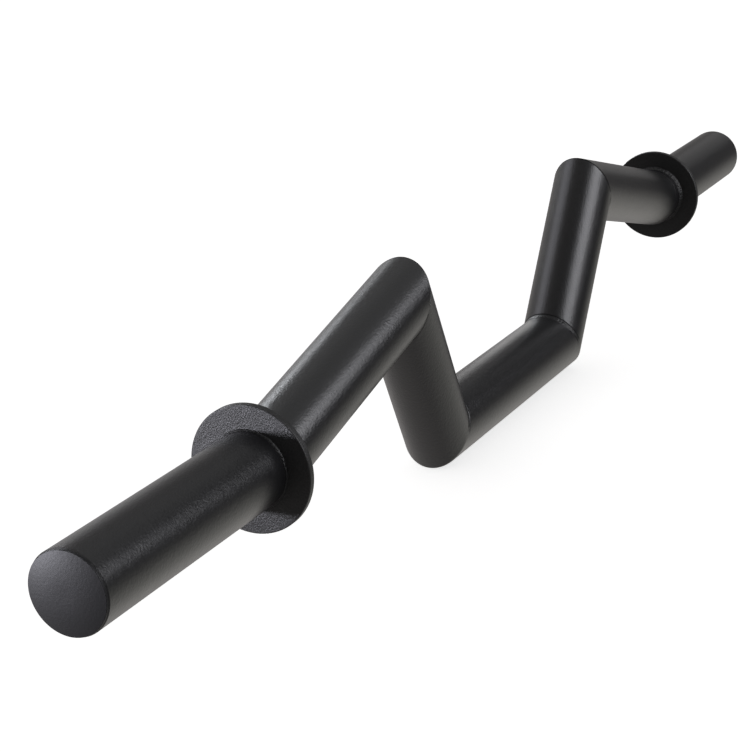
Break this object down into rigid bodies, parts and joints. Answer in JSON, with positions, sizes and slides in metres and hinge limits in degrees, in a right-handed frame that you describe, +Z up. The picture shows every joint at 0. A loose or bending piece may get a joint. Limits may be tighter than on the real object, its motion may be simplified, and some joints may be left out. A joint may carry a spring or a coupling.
{
  "type": "ez curl bar",
  "caption": "Thick-tube EZ curl bar: mitre-welded W-shaped grip with fixed plate sleeves, welded stop collars and plugged tube ends.",
  "frame": {"origin": "on the floor under the middle of the centre tube, which the bar stands on in the picture: the bottom centre of the bar's box", "axes": "+X along the bar towards its right end, +Z up in the plane of the W, +Y square to that plane"},
  "size_m": [1.1642, 0.082, 0.1688],
  "materials": {
    "tube_coat": "satin black powder coat with a fine orange-peel texture on steel tube",
    "collar_coat": "black powder coat with a sandy texture on steel plate and weld beads",
    "cap_plastic": "matte moulded black with a fine spark-eroded grain"
  },
  "bodies": {
    "root": {"centre_tube": "tube_coat", "leg_tube_left": "tube_coat", "leg_tube_right": "tube_coat", "grip_tube_left": "tube_coat", "grip_tube_right": "tube_coat", "sleeve_tube_left": "tube_coat", "sleeve_tube_right": "tube_coat", "valley_weld_left": "tube_coat", "valley_weld_right": "tube_coat", "peak_weld_left": "tube_coat", "peak_weld_right": "tube_coat", "bend_weld_left": "tube_coat", "bend_weld_right": "tube_coat", "stop_collar_left": "collar_coat", "stop_collar_right": "collar_coat", "collar_inner_weld_left": "collar_coat", "collar_inner_weld_right": "collar_coat", "collar_outer_weld_left": "collar_coat", "collar_outer_weld_right": "collar_coat", "end_cap_left": "cap_plastic", "end_cap_right": "cap_plastic"}
  },
  "joints": []
}
